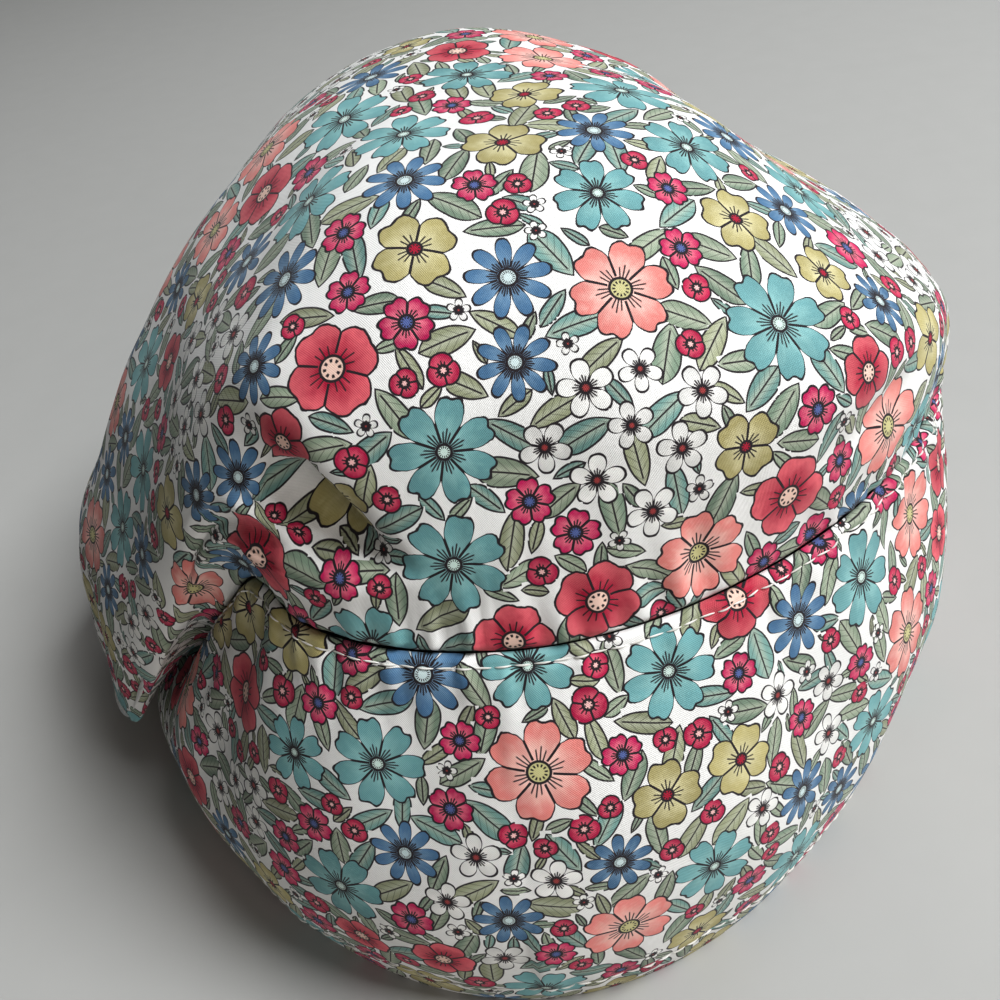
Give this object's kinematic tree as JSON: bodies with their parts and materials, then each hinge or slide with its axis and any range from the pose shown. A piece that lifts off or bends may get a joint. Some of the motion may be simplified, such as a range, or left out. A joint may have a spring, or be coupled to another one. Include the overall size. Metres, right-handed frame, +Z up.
{
  "type": "soft cotton cap",
  "caption": "Soft slouching cap of thin printed cotton: a puffed crown that droops to one side, sewn along a curved seam to a plain hemmed band that is deep in front and shallow behind.",
  "frame": {"origin": "centre of the cap's own box, at the level of the rim that it stands on", "axes": "+Z up through the crown; the front of the cap faces -Y; the crown droops towards -X"},
  "size_m": [0.2118, 0.2194, 0.14],
  "materials": {
    "crown_cloth": "matte printed plain weave cotton, small flowers on white",
    "band_cloth": "matte printed plain weave cotton, small flowers on white"
  },
  "bodies": {
    "root": {"crown": "crown_cloth", "band": "band_cloth"}
  },
  "joints": []
}
